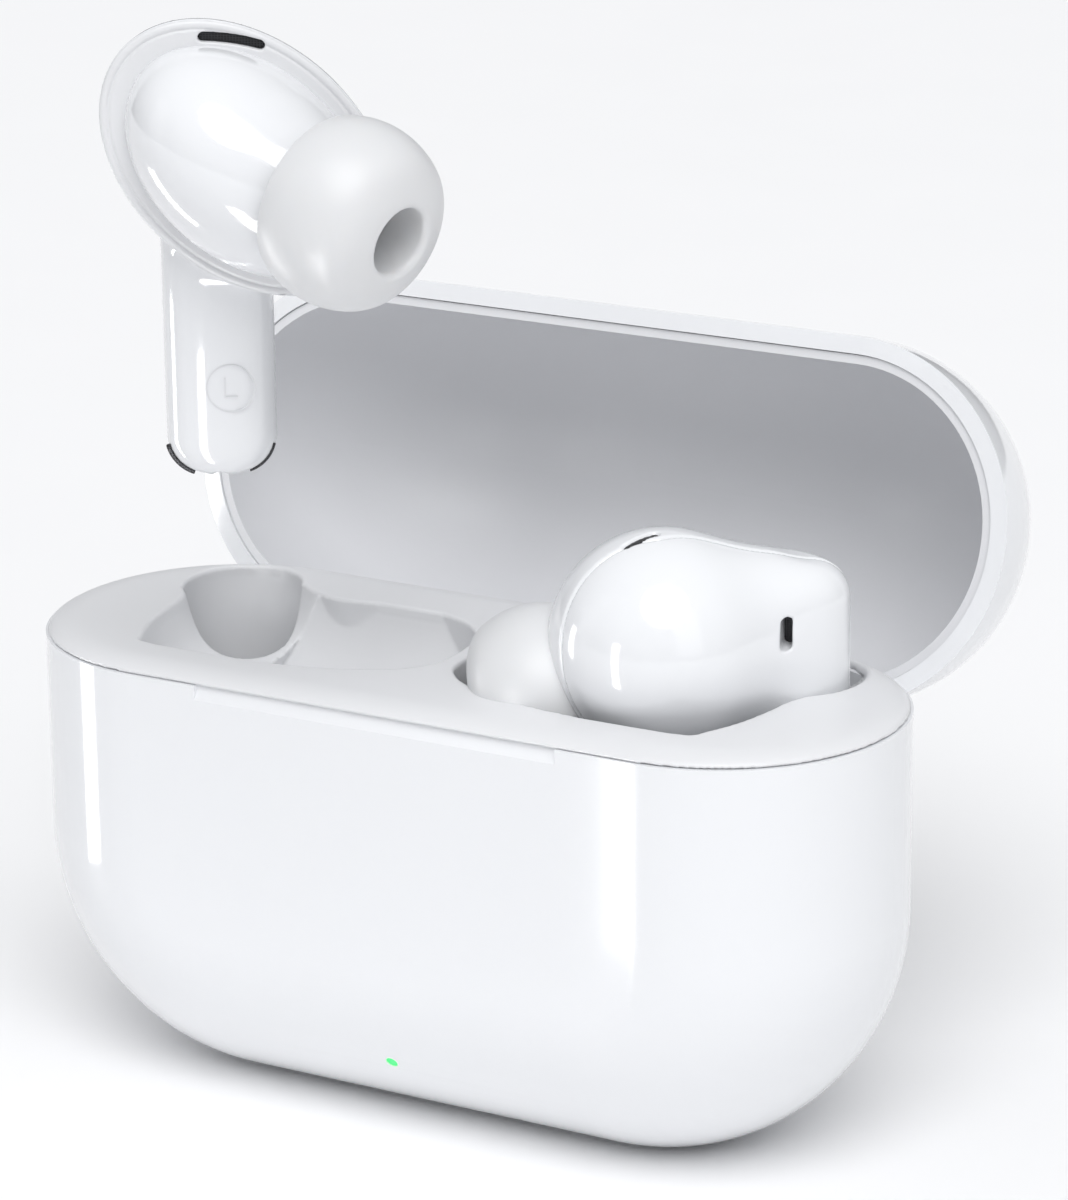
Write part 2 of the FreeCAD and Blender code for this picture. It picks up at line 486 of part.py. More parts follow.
def build_bud(word, side, placement):
    """One earbud about its stem, with the tip towards +X for side 1 and -X for side -1."""
    shift = f"{side} * offset_{word}"
    head = (shift, "-ring_y", "head_z")
    offset = side * value(f"offset_{word}")
    yaw, dip = math.radians(value("tip_yaw")), math.radians(value("tip_dip"))
    outward = Vector(side * math.cos(dip) * math.cos(yaw), -math.cos(dip) * math.sin(yaw), -math.sin(dip))
    tip = Vector(offset + side * value("tip_x"), -value("ring_y") - value("tip_y"),
                 value("head_z") - value("tip_z"))

    def part(solid, label, local=Placement()):
        return node(solid, f"{word}_{label}", placement * local)

    def name(text):
        return f"{word}_{text}"

    behind = box(name("behind"), WIDE, ("-ring_y", "case_t"), ("-10", "case_top"))
    ahead = box(name("ahead"), WIDE, ("-case_t", "-ring_y"), ("-10", "case_top"))
    post = rounded_post(name("post"), "stem_r", "stem_top", "stem_edge", ("0", "0", "0"))
    flats = box(name("flats"), WIDE, ("-stem_flat", "stem_flat"), ("-1", "case_top"))
    stem = common(name("stem"), post, flats)
    dome = common(name("dome"), ellipsoid(name("dome_form"), head, ("ring_r", "dome_y", "ring_h")), behind)
    dome_hollow = common(name("dome_room"), ellipsoid(name("dome_hollow"), head,
                                                      ("ring_r - skin", "dome_y - skin", "ring_h - skin")),
                         box(name("ring_back"), WIDE, ("ring_t - ring_y", "case_t"), ("-10", "case_top")))
    mouth = rod(name("mouth"), "ring_bore", (shift, "-ring_y - 1", "head_z"), "ring_t + 1.2", "y")
    bore = rod(name("bore"), "stem_bore", ("0", "0", "pad_high"), "head_z - pad_high", "z")
    vent_room = box(name("vent_room"), (f"{shift} - vent_w", f"{shift} + vent_w"),
                    ("-case_t", "ring_t - ring_y"), ("head_z + vent_low", "head_z + vent_high"))
    pads = [rod(name(f"pad{step}"), "pad_r", (f"{step * 2 - 1} * charge_pitch / 2", "0", "pad_low"),
                "pad_high - pad_low") for step in (0, 1)]
    pad_rooms = [rod(name(f"pad_room{step}"), "pad_r", (f"{step * 2 - 1} * charge_pitch / 2", "0", "-1"),
                     "pad_high + 1") for step in (0, 1)]
    turn = math.radians(value("pill_turn"))
    aim = Vector(-side * math.sin(turn), -math.cos(turn), 0)

    def pill(label, start, length):
        low = Vector(0, 0, value("pill_z") - value("pill_len") / 2) + aim * start
        high = low + Vector(0, 0, value("pill_len"))
        ends = [aimed_rod(name(f"{label}{step}"), "pill_r", length, place, aim)
                for step, place in enumerate((low, high))]
        slab = doc.addObject("Part::Box", name(label + "_slab"))
        bind(slab, "Length", length)
        bind(slab, "Width", "2 * pill_r")
        bind(slab, "Height", "pill_len")
        across = Vector(-aim.y, aim.x, 0) * value("pill_r")
        slab.Placement = Placement(low - across, Rotation(up, math.degrees(math.atan2(aim.y, aim.x))))
        return fuse(name(label), *ends, slab)

    pill_start = value("stem_bore") - value("pill_back")
    shell = cut(name("shell"), fuse(name("shell_blank"), stem, dome), dome_hollow, mouth, bore, vent_room,
                *pad_rooms, pill("pill_room", pill_start, "pill_cut"))
    part(shell, "bud_housing")
    part(pill("pill_core", pill_start, "pill_deep"), "side_vent")
    part(box(name("vent"), (f"{shift} - vent_w", f"{shift} + vent_w"), ("0.3 - ring_y", "ring_t - ring_y"),
             ("head_z + vent_low", "head_z + vent_high")), "top_vent_mesh")
    part(group(name("pads"), *pads), "charge_pads")

    root = tip - outward * value("nozzle_root")
    nozzle_length = "nozzle_root + nozzle_end"
    nozzle = aimed_rod(name("nozzle"), "nozzle_r", nozzle_length, root, outward)
    nozzle_bore = aimed_rod(name("nozzle_bore"), "nozzle_r - nozzle_wall", nozzle_length + " + 1", root,
                            outward)
    bulge = ellipsoid(name("bulge"), head, ("bulge_r", "bulge_y", "bulge_r"))
    bulge_hollow = ellipsoid(name("bulge_hollow"), head,
                             ("bulge_r - skin", "bulge_y - skin", "bulge_r - skin"))
    neck = common(name("neck"), fuse(name("neck_blank"), bulge, nozzle), ahead)
    part(cut(name("inner"), neck, bulge_hollow, nozzle_bore), "inner_housing")
    grille = tip + outward * (value("nozzle_end") - value("mesh_in"))
    part(aimed_rod(name("grille"), "nozzle_r - nozzle_wall", "mesh_t", grille, outward), "nozzle_mesh")

    form = ear_tip(name("tip"))
    part(group(name("tip_turned"), form), "ear_tip", Placement(tip, Rotation(up, outward)))

    part(rod(name("coin"), "coin_r", (shift, "-coin_front", "head_z"), "coin_front - coin_back", "y"),
         "bud_battery")
    part(rod(name("driver"), "driver_r", (shift, "-driver_front", "head_z"),
             "driver_front - coin_front - driver_gap", "y"), "bud_driver")
    part(box(name("bud_pcb"), ("-bud_board_w", "bud_board_w"), ("-bud_board_t / 2", "bud_board_t / 2"),
             ("bud_board_low", "bud_board_high")), "bud_board")


def write_parts():
    doc.recompute()
    for item in doc.Objects:
        if "Invalid" in item.State or "Error" in item.State:
            raise RuntimeError(f"{item.Name} failed: {item.State}")
    for item in nodes:
        if item.Shape.isNull() or not item.Shape.isValid() or not item.Shape.Solids:
            raise RuntimeError(f"{item.Label} has no valid solid")
    os.makedirs("parts", exist_ok=True)
    for item in nodes:
        item.Shape.exportStep(f"parts/{item.Label}.step")
    print(len(nodes), "parts written")


build_shells()
build_tray()
build_inside()
build_hinge()
build_button()
build_lid()
build_bud("right", -1, Placement(Vector(value("stem_x"), value("stem_y"), value("seat_z")),
                                 Rotation(up, value("right_yaw"))))
build_bud("left", 1, Placement(Vector(value("left_x"), value("left_y"), value("left_z")),
                               Rotation(up, value("left_yaw"))))
write_parts()
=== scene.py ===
import json
import math

import bpy
import numpy as np
from mathutils import Matrix, Vector


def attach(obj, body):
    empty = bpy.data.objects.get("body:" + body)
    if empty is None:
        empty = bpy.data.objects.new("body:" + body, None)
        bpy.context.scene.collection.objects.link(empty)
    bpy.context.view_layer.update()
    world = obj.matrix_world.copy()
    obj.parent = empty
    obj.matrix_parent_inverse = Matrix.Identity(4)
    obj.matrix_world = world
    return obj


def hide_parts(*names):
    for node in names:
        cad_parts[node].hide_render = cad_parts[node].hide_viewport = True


# The looks of a wireless earbuds case. Shapes are worked out in millimetres and written in metres.

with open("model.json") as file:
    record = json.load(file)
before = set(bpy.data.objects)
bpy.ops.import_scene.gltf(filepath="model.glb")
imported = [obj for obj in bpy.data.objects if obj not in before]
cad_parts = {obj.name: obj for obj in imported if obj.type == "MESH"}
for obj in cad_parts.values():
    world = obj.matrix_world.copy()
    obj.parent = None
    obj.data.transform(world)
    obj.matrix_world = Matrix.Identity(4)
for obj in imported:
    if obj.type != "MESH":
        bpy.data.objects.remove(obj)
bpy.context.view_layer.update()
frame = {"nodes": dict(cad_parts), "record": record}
MM = 0.001

# ---- sizes shared with the CAD part, in millimetres ----
CASE_W, CASE_T = 62.3, 24.9
SHELL_TOP, DECK_TOP = 30.1, 30.9
STEM_X, STEM_Y, WELL_R, WELL_FLOOR = 21.4, 5.6, 3.9, 10.58
NOTCH_W, NOTCH_Y = 9.5, 11.7
STEM_R, STEM_FLAT, STEM_TOP, STEM_EDGE = 3.5, 3.1, 28.2, 2.5
TIP_R, TIP_SKIRT, TIP_FRONT, TIP_BORE = 5.9, 2.6, 4.6, 2.15
TIP_YAW, TIP_DIP = math.radians(41.6), math.radians(15.7)
LEFT_TIP, RIGHT_TIP = (8.6, -11.6, 19.2), (-11.6, -11.6, 19.2)
NOZZLE_BORE = 1.96


# ---- camera, at the photograph's viewing angle ----
def set_camera():
    """Turn, lift and roll are in radians, distance and target in metres."""
    turn, lift, roll = 0.531031, 0.318853, -0.0153012
    distance, target = 0.327213, Vector((0, 0, 0.0309))
    back = Vector((math.sin(turn) * math.cos(lift), -math.cos(turn) * math.cos(lift), math.sin(lift)))
    right = (-back).cross(Vector((0, 0, 1))).normalized()
    up = right.cross(-back)
    across = math.cos(roll) * right + math.sin(roll) * up
    upward = -math.sin(roll) * right + math.cos(roll) * up
    data = bpy.data.cameras.new("camera")
    data.lens = 148.575
    data.sensor_width = 36
    data.shift_x, data.shift_y = 0.0553, 0.0432
    data.clip_start, data.clip_end = 0.01, 20
    camera = bpy.data.objects.new("camera", data)
    camera.matrix_world = Matrix.Translation(target + back * distance) @ Matrix(
        (across, upward, back)).transposed().to_4x4()
    bpy.context.collection.objects.link(camera)
    bpy.context.scene.camera = camera


# ---- signed distance fields: negative inside, arrays in millimetres ----
def blend_in(a, b, k):
    """Union of two fields with a soft join of width k."""
    h = np.clip(0.5 + 0.5 * (b - a) / k, 0, 1)
    return b * (1 - h) + a * h - k * h * (1 - h)


def carve(a, b, k):
    """Field a with b taken away, with a soft edge."""
    return -blend_in(-a, b, k)


def meet(a, b, k):
    """What two fields share, with a soft edge."""
    return -blend_in(-a, -b, k)


def ellipsoid(x, y, z, radii):
    """Rough distance to an ellipsoid round the origin, right close to its surface."""
    near = np.sqrt((x / radii[0]) ** 2 + (y / radii[1]) ** 2 + (z / radii[2]) ** 2)
    far = np.sqrt((x / radii[0] ** 2) ** 2 + (y / radii[1] ** 2) ** 2 + (z / radii[2] ** 2) ** 2)
    return near * (near - 1) / np.maximum(far, 1e-6)


def rounded_pair(a, b, edge):
    """Where two outward distances are both negative, with an edge radius."""
    a, b = a + edge, b + edge
    return np.minimum(np.maximum(a, b), 0) + np.hypot(np.maximum(a, 0), np.maximum(b, 0)) - edge


def post(x, y, z, radius, low, high, edge):
    """An upright round post with softly rounded ends."""
    middle, half = (low + high) / 2, (high - low) / 2
    return rounded_pair(np.hypot(x, y) - radius, np.abs(z - middle) - half, edge)


def capsule(x, y, z, start, end, radius):
    """A rod with round ends between two points."""
    start, end = np.array(start, float), np.array(end, float)
    line = end - start
    px, py, pz = x - start[0], y - start[1], z - start[2]
    t = np.clip((px * line[0] + py * line[1] + pz * line[2]) / (line @ line), 0, 1)
    return np.sqrt((px - t * line[0]) ** 2 + (py - t * line[1]) ** 2 + (pz - t * line[2]) ** 2) - radius


def plan_box(x, y, half_x, half_y, corner):
    """Distance in plan to a rectangle with round corners."""
    a, b = np.abs(x) - half_x + corner, np.abs(y) - half_y + corner
    return np.minimum(np.maximum(a, b), 0) + np.hypot(np.maximum(a, 0), np.maximum(b, 0)) - corner


# ---- a closed mesh on the zero level of a field ----
CORNERS = np.array([(i, j, k) for i in (0, 1) for j in (0, 1) for k in (0, 1)])
EDGES = [(a, b) for n, a in enumerate(CORNERS) for b in CORNERS[n + 1:] if abs(a - b).sum() == 1]


def net(field, low, high, step):
    """Points and quads of the zero level of a field inside a box."""
    low = np.array(low, float) - 1.5 * step
    axes = [np.arange(a, b + 2.5 * step, step) for a, b in zip(low, high)]
    d = field(*np.meshgrid(*axes, indexing="ij"))
    inside = d < 0
    count = np.zeros(tuple(n - 1 for n in d.shape), np.int8)
    for i, j, k in CORNERS:
        count += inside[i:i + count.shape[0], j:j + count.shape[1], k:k + count.shape[2]]
    cells = np.argwhere((count > 0) & (count < 8))
    number = -np.ones(count.shape, np.int64)
    number[tuple(cells.T)] = np.arange(len(cells))
    total, hits = np.zeros((len(cells), 3)), np.zeros(len(cells))
    for first, second in EDGES:
        a, b = cells + first, cells + second
        da, db = d[tuple(a.T)], d[tuple(b.T)]
        crossed = (da < 0) != (db < 0)
        t = np.where(crossed, da / np.where(crossed, da - db, 1), 0)
        total += np.where(crossed[:, None], a + t[:, None] * (b - a), 0)
        hits += crossed
    points = low + step * total / hits[:, None]
    quads = []
    for axis in range(3):
        side = [slice(None)] * 3
        side[axis] = slice(0, -1)
        over = [slice(None)] * 3
        over[axis] = slice(1, None)
        edges = np.argwhere(inside[tuple(side)] != inside[tuple(over)])
        u, v = np.eye(3, dtype=int)[(axis + 1) % 3], np.eye(3, dtype=int)[(axis + 2) % 3]
        around = [edges - u - v, edges - v, edges, edges - u]
        quad = np.stack([number[tuple(c.T)] for c in around], axis=1)
        leaving = inside[tuple(edges.T)]
        quads.append(np.where(leaving[:, None], quad, quad[:, ::-1]))
    for _ in range(3):
        points = settle(field, points, step)
    return points, np.concatenate(quads)


def settle(field, points, step):
    """Moves points onto the zero level along the field's slope."""
    e = 0.01
    d = field(*points.T)
    slope = np.stack([(field(*(points + e * axis).T) - field(*(points - e * axis).T)) / (2 * e)
                      for axis in np.eye(3)], axis=1)
    size = np.maximum((slope ** 2).sum(axis=1), 0.05)
    move = -(d / size)[:, None] * slope
    length = np.linalg.norm(move, axis=1, keepdims=True)
    return points + move * np.minimum(1, 0.5 * step / np.maximum(length, 1e-9))


def piece(name, points, faces, body, slot, place=None, smooth=True):
    """A mesh object in the CAD frame, from points in millimetres, in its slot's material."""
    points = np.asarray(points, float) * MM
    if place is not None:
        points = points @ np.array(place.to_3x3()).T + np.array(place.translation)
    mesh = bpy.data.meshes.new(name)
    mesh.from_pydata(points.tolist(), [], [list(f) for f in np.asarray(faces).tolist()])
    mesh.update()
    mesh.polygons.foreach_set("use_smooth", [smooth] * len(mesh.polygons))
    thing = bpy.data.objects.new(name, mesh)
    bpy.context.collection.objects.link(thing)
    mesh.materials.append(MATERIALS[slot])
    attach(thing, body)
    return thing


def grown(name, field, low, high, step, body, slot, place=None):
    """A piece from the zero level of a field. The box has to hold all of it."""
    points, faces = net(field, low, high, step)
    return piece(name, points, faces, body, slot, place)


# ---- materials ----
def finish_node(name, colour, rough, grain=0.0, grain_scale=4000, tint=0.02, coat=0.0, metal=0.0,
                soft=0.0, spread=0.03, glow=None):
    """A moulded or metal finish: faint colour drift, uneven gloss and a fine grain, all from noise."""
    material = bpy.data.materials.new(name)
    material.use_nodes = True
    nodes, links = material.node_tree.nodes, material.node_tree.links
    shader = nodes["Principled BSDF"]
    where = nodes.new("ShaderNodeTexCoord")
    drift = nodes.new("ShaderNodeTexNoise")
    drift.inputs["Scale"].default_value = 60
    drift.inputs["Detail"].default_value = 2
    links.new(where.outputs["Object"], drift.inputs["Vector"])
    ramp = nodes.new("ShaderNodeMix")
    ramp.data_type = "RGBA"
    ramp.inputs["A"].default_value = (*[c * (1 - tint) for c in colour], 1)
    ramp.inputs["B"].default_value = (*[min(1, c * (1 + tint)) for c in colour], 1)
    links.new(drift.outputs["Fac"], ramp.inputs["Factor"])
    links.new(ramp.outputs["Result"], shader.inputs["Base Color"])
    gloss = nodes.new("ShaderNodeMapRange")
    gloss.inputs["To Min"].default_value = max(0, rough - spread)
    gloss.inputs["To Max"].default_value = rough + spread
    links.new(drift.outputs["Fac"], gloss.inputs["Value"])
    links.new(gloss.outputs["Result"], shader.inputs["Roughness"])
    shader.inputs["Metallic"].default_value = metal
    shader.inputs["Coat Weight"].default_value = coat
    shader.inputs["Coat Roughness"].default_value = 0.04
    if soft:
        shader.inputs["Subsurface Weight"].default_value = soft
        shader.inputs["Subsurface Scale"].default_value = 0.0015
        shader.inputs["Subsurface Radius"].default_value = (1, 0.9, 0.8)
    if grain:
        fine = nodes.new("ShaderNodeTexNoise")
        fine.inputs["Scale"].default_value = grain_scale
        fine.inputs["Detail"].default_value = 3
        links.new(where.outputs["Object"], fine.inputs["Vector"])
        bump = nodes.new("ShaderNodeBump")
        bump.inputs["Strength"].default_value = grain
        bump.inputs["Distance"].default_value = 0.00002
        links.new(fine.outputs["Fac"], bump.inputs["Height"])
        links.new(bump.outputs["Normal"], shader.inputs["Normal"])
    if glow:
        shader.inputs["Emission Color"].default_value = (*colour, 1)
        shader.inputs["Emission Strength"].default_value = glow
    return material


def mesh_finish(name, wire, hole, pitch):
    """Woven wire: two crossed wave bands for colour and relief."""
    material = finish_node(name, wire, 0.35, metal=0.6)
    nodes, links = material.node_tree.nodes, material.node_tree.links
    shader = nodes["Principled BSDF"]
    where = nodes.new("ShaderNodeTexCoord")
    bands = []
    for direction in ("X", "Z"):
        wave = nodes.new("ShaderNodeTexWave")
        wave.bands_direction = direction
        wave.inputs["Scale"].default_value = 1 / (pitch * MM) / 3.14159
        links.new(where.outputs["Object"], wave.inputs["Vector"])
        bands.append(wave)
    weave = nodes.new("ShaderNodeMath")
    weave.operation = "MAXIMUM"
    links.new(bands[0].outputs["Fac"], weave.inputs[0])
    links.new(bands[1].outputs["Fac"], weave.inputs[1])
    mix = nodes.new("ShaderNodeMix")
    mix.data_type = "RGBA"
    mix.inputs["A"].default_value = (*hole, 1)
    mix.inputs["B"].default_value = (*wire, 1)
    links.new(weave.outputs["Value"], mix.inputs["Factor"])
    links.new(mix.outputs["Result"], shader.inputs["Base Color"])
    bump = nodes.new("ShaderNodeBump")
    bump.inputs["Strength"].default_value = 0.4
    bump.inputs["Distance"].default_value = 0.00003
    links.new(weave.outputs["Value"], bump.inputs["Height"])
    links.new(bump.outputs["Normal"], shader.inputs["Normal"])
    return material


MATERIALS = {
    "gloss_white": finish_node("gloss_white", (0.84, 0.85, 0.87), 0.10, tint=0.006, coat=0.5, spread=0.02),
    "satin_white": finish_node("satin_white", (0.76, 0.765, 0.78), 0.36, grain=0.12, tint=0.008),
    "satin_grey": finish_node("satin_grey", (0.72, 0.725, 0.745), 0.42, grain=0.2, tint=0.01),
    "silicone": finish_node("silicone", (0.74, 0.745, 0.755), 0.38, grain=0.08, tint=0.01, soft=0.15),
    "mesh_dark": mesh_finish("mesh_dark", (0.05, 0.05, 0.055), (0.004, 0.004, 0.004), 0.16),
    "mesh_grey": mesh_finish("mesh_grey", (0.6, 0.605, 0.61), (0.2, 0.2, 0.205), 0.16),
    "steel": finish_node("steel", (0.62, 0.63, 0.65), 0.28, grain=0.3, metal=1.0),
    "gold": finish_node("gold", (0.83, 0.62, 0.28), 0.2, grain=0.1, metal=1.0),
    "board": finish_node("board", (0.03, 0.2, 0.1), 0.4, grain=0.2),
    "chip": finish_node("chip", (0.03, 0.03, 0.035), 0.45, grain=0.3),
    "flex": finish_node("flex", (0.5, 0.28, 0.06), 0.3, grain=0.1),
    "cell": finish_node("cell", (0.5, 0.51, 0.55), 0.3, grain=0.4, grain_scale=1500, metal=0.5),
    "foam": finish_node("foam", (0.06, 0.06, 0.06), 0.9, grain=1.0, grain_scale=2500),
    "led_green": finish_node("led_green", (0.03, 0.75, 0.12), 0.2, grain=0.05, glow=1.2),
    "magnet": finish_node("magnet", (0.6, 0.6, 0.62), 0.25, grain=0.1, metal=1.0),
}

# every CAD node takes the finish of its slot
SLOT_OF = {entry["node"]: entry["material_slot"] for entry in frame["record"]["subparts"]}
for node_name, thing in frame["nodes"].items():
    for index in range(max(1, len(thing.material_slots))):
        if not thing.material_slots:
            thing.data.materials.append(None)
        thing.material_slots[index].material = MATERIALS[SLOT_OF[node_name]]

# ---- deck tray with the two pockets ----
# The left pocket's mouth in plan, before its shift. The right pocket mirrors it.
MOUTH_SHIFT = (0.35, 0)
MOUTH = np.array([(-20.9, -6.9), (-22.0, -4.2), (-22.6, -1.4), (-22.9, 0.7), (-23.5, 2.3), (-24.7, 3.8),
                  (-25.3, 5.9), (-25.0, 8.1), (-23.7, 10.2), (-21.4, 11.45), (-19.3, 10.3), (-17.4, 7.9),
                  (-15.4, 6.6), (-12.9, 6.0), (-10.0, 6.5), (-7.1, 6.8), (-4.6, 6.2), (-2.4, 5.0),
                  (-1.0, 3.3), (-0.35, 1.2), (-0.25, -2.2), (-1.1, -4.2), (-3.2, -5.9), (-7.5, -7.5),
                  (-12.7, -8.1), (-17.5, -8.1), (-20.2, -7.9)]) - MOUTH_SHIFT


def closed_curve(points, parts):
    """A smooth closed curve through the points."""
    rows = []
    n = len(points)
    for i in range(n):
        p0, p1, p2, p3 = (points[(i + k) % n] for k in (-1, 0, 1, 2))
        for t in np.arange(parts) / parts:
            rows.append(0.5 * (2 * p1 + (p2 - p0) * t + (2 * p0 - 5 * p1 + 4 * p2 - p3) * t ** 2
                               + (3 * p1 - p0 - 3 * p2 + p3) * t ** 3))
    return np.array(rows)


def outline_table(outline, low, high, step):
    xs, ys = np.arange(low[0], high[0], step), np.arange(low[1], high[1], step)
    x, y = np.meshgrid(xs, ys, indexing="ij")
    best = np.full(x.shape, 1e9)
    odd = np.zeros(x.shape, bool)
    for (ax, ay), (bx, by) in zip(outline, np.roll(outline, -1, axis=0)):
        lx, ly = bx - ax, by - ay
        t = np.clip(((x - ax) * lx + (y - ay) * ly) / max(lx * lx + ly * ly, 1e-9), 0, 1)
        best = np.minimum(best, np.hypot(x - ax - t * lx, y - ay - t * ly))
        crosses = (ay > y) != (by > y)
        odd ^= crosses & (x < ax + (y - ay) * lx / np.where(crosses, by - ay, 1))
    return np.where(odd, -best, best)


# how deep the ramps go and how fast they fall, and the trough for the head and ear tip
LEFT_DEPTH, LEFT_RUN, RIGHT_DEPTH, RIGHT_RUN = 4.2, 1.2, 12.0, 5.0
TROUGH_Y, TROUGH_UP, TROUGH_R = -2.0, 1.2, 8.6
THUMB_Y, THUMB_R, THUMB_DEPTH = 10.35, 2.5, 6.0
TABLE_LOW, TABLE_HIGH, TABLE_STEP = (-32.5, -14.0), (4.0, 14.1), 0.1
MOUTH_TABLE = outline_table(closed_curve(MOUTH, 8), TABLE_LOW, TABLE_HIGH, TABLE_STEP)


def mouth_distance(x, y):
    """Distance in plan to the left pocket's outline, read from the table."""
    u = np.clip((x - TABLE_LOW[0]) / TABLE_STEP, 0, MOUTH_TABLE.shape[0] - 1.001)
    v = np.clip((y - TABLE_LOW[1]) / TABLE_STEP, 0, MOUTH_TABLE.shape[1] - 1.001)
    i, j = u.astype(int), v.astype(int)
    fu, fv = u - i, v - j
    near = MOUTH_TABLE[i, j] * (1 - fu) + MOUTH_TABLE[i + 1, j] * fu
    far = MOUTH_TABLE[i, j + 1] * (1 - fu) + MOUTH_TABLE[i + 1, j + 1] * fu
    return near * (1 - fv) + far * fv


def pocket_field(x, y, z):
    """Both pockets: a dished ramp by the stem, a trough for the head and tip, and the stem's well.

    The well's upper part leans back, with a rounded relief behind it that fades out below.
    """
    left = x < 0
    u = -np.abs(x)
    depth = np.maximum(DECK_TOP - z, 0)
    edge = mouth_distance(u, y)
    dish, run = np.where(left, LEFT_DEPTH, RIGHT_DEPTH), np.where(left, LEFT_RUN, RIGHT_RUN)
    fall = np.exp(np.minimum(edge, 0) / run)
    ramp = (DECK_TOP - dish * (1 - fall) - z) / np.hypot(1, dish / run * fall)
    ramp = np.maximum(ramp, edge)
    ramp = np.maximum(ramp, np.where(left, 0.93 * (u + 15.1 + 0.375 * depth), u + 13.0))
    ramp = np.maximum(ramp, np.where(left, 0.87 * (y - 3.8 - 0.56 * (u + 24.7)), ramp))
    trough = np.hypot(y - TROUGH_Y, z - DECK_TOP - TROUGH_UP) - TROUGH_R
    trough = np.where(z > DECK_TOP + TROUGH_UP, np.abs(y - TROUGH_Y) - TROUGH_R, trough)
    trough = np.maximum(np.maximum(edge, trough), 0.93 * (-15.4 - 0.375 * depth - u))
    well = np.maximum(np.hypot(u + STEM_X, y - STEM_Y) - WELL_R, WELL_FLOOR - z)
    lean = np.hypot(u + STEM_X, y - STEM_Y - 0.6 * np.exp(-(depth / 3.0) ** 2)) - WELL_R
    lean = np.maximum(lean, WELL_FLOOR - z)
    radius = THUMB_R - 0.22 * depth
    thumb = 0.92 * (np.hypot(u + STEM_X, y - THUMB_Y + 0.21 * depth + radius) - radius)
    thumb = np.maximum(thumb, depth - THUMB_DEPTH)
    well = blend_in(well, lean, 0.3)
    return blend_in(np.minimum(ramp, trough), blend_in(well, thumb, 0.1), 0.12)


RIM_IN, WALLS_IN, WALL = 0.15, 1.45, 0.55


def tray_field(x, y, z):
    """The deck with its crowned rim, the pockets' walls below it and a notch for the hinge."""
    edge = plan_box(x, y, CASE_W / 2 - RIM_IN, CASE_T / 2 - RIM_IN, CASE_T / 2 - 0.2)
    crown_w, crown_h = 2.3, DECK_TOP - SHELL_TOP
    a = np.maximum(crown_w + edge, 0) / crown_w
    b = np.maximum(z - SHELL_TOP, 0) / crown_h
    slab = np.where(z > SHELL_TOP, (np.hypot(a, b) - 1) * crown_h, edge)
    slab = np.maximum(slab, SHELL_TOP - z)
    hollow = pocket_field(x, y, z)
    walls = np.maximum(hollow - WALL, z - SHELL_TOP - 0.1)
    limit = plan_box(x, y, CASE_W / 2 - WALLS_IN, CASE_T / 2 - WALLS_IN, CASE_T / 2 - 1.5)
    walls = np.maximum(walls, limit)
    notch = np.maximum(np.abs(x) - NOTCH_W, NOTCH_Y - y)
    body = np.maximum(np.minimum(slab, walls), -notch)
    return carve(body, hollow, 0.16)


tray = grown("deck_tray_visual", tray_field, (-31.2, -12.5, 10.0), (31.2, 12.5, 31.0), 0.2, "case",
             "satin_white")
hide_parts("deck_tray")


# ---- earbuds ----
def turned(x, y, z, centre, axis):
    """Distance along and out from an axis through a point."""
    px, py, pz = x - centre[0], y - centre[1], z - centre[2]
    along = px * axis[0] + py * axis[1] + pz * axis[2]
    out = np.sqrt(np.maximum(px * px + py * py + pz * pz - along * along, 0))
    return along, out


def tip_axis(side):
    """Where an ear tip points: side is 1 for the left earbud, -1 for the right."""
    return (side * math.cos(TIP_DIP) * math.cos(TIP_YAW), -math.cos(TIP_DIP) * math.sin(TIP_YAW),
            -math.sin(TIP_DIP))


def tip_field(centre, axis):
    """A silicone ear tip: a soft dome with a bore, hollow under its skirt."""
    skin, post_r = 0.55, 3.3

    def field(x, y, z):
        along, out = turned(x, y, z, centre, axis)
        dome = np.hypot(along, out) - TIP_R
        dome = meet(dome, along - TIP_FRONT, 1.8)
        dome = meet(dome, -TIP_SKIRT - along, 0.25)
        room = np.maximum(np.hypot(along, out) - (TIP_R - skin), along - 1.6)
        room = np.maximum(room, post_r - out)
        dome = carve(dome, room, 0.2)
        return carve(dome, np.maximum(out - TIP_BORE, 0.6 - along), 0.5)
    return field


def stem_field(x, y, z):
    """A stem: a round post with two flattened sides."""
    body = post(x, y, z, STEM_R, 0, STEM_TOP, STEM_EDGE)
    return meet(body, np.abs(y) - STEM_FLAT, 0.8)


def pill(x, y, z):
    """The upright slot with round ends in the right earbud's face."""
    turn = math.radians(36)
    aim = (math.sin(turn), -math.cos(turn))
    middle, half, radius, floor = 24.7, 0.75, 0.35, 1.9
    across = -aim[1] * x + aim[0] * y
    along = aim[0] * x + aim[1] * y
    tall = np.hypot(across, np.maximum(np.abs(z - middle) - half, 0)) - radius
    return np.maximum(tall, floor - along)


# the left earbud, seen from its ear side: an oval collar, a bulge towards the ear and a flat-faced stem
COLLAR, COLLAR_Y, COLLAR_A, COLLAR_B = (2.2, 21.1), -5.0, 10.1, 7.25
COLLAR_TURN = math.radians(-43)
RING_LOW = 12.6
CORNER_X, CORNER_R = 0.95, 2.45


def collar_axes(x, z):
    """Coordinates along the collar's long and short axes."""
    px, pz = x - COLLAR[0], z - COLLAR[1]
    return (px * math.cos(COLLAR_TURN) + pz * math.sin(COLLAR_TURN),
            -px * math.sin(COLLAR_TURN) + pz * math.cos(COLLAR_TURN))


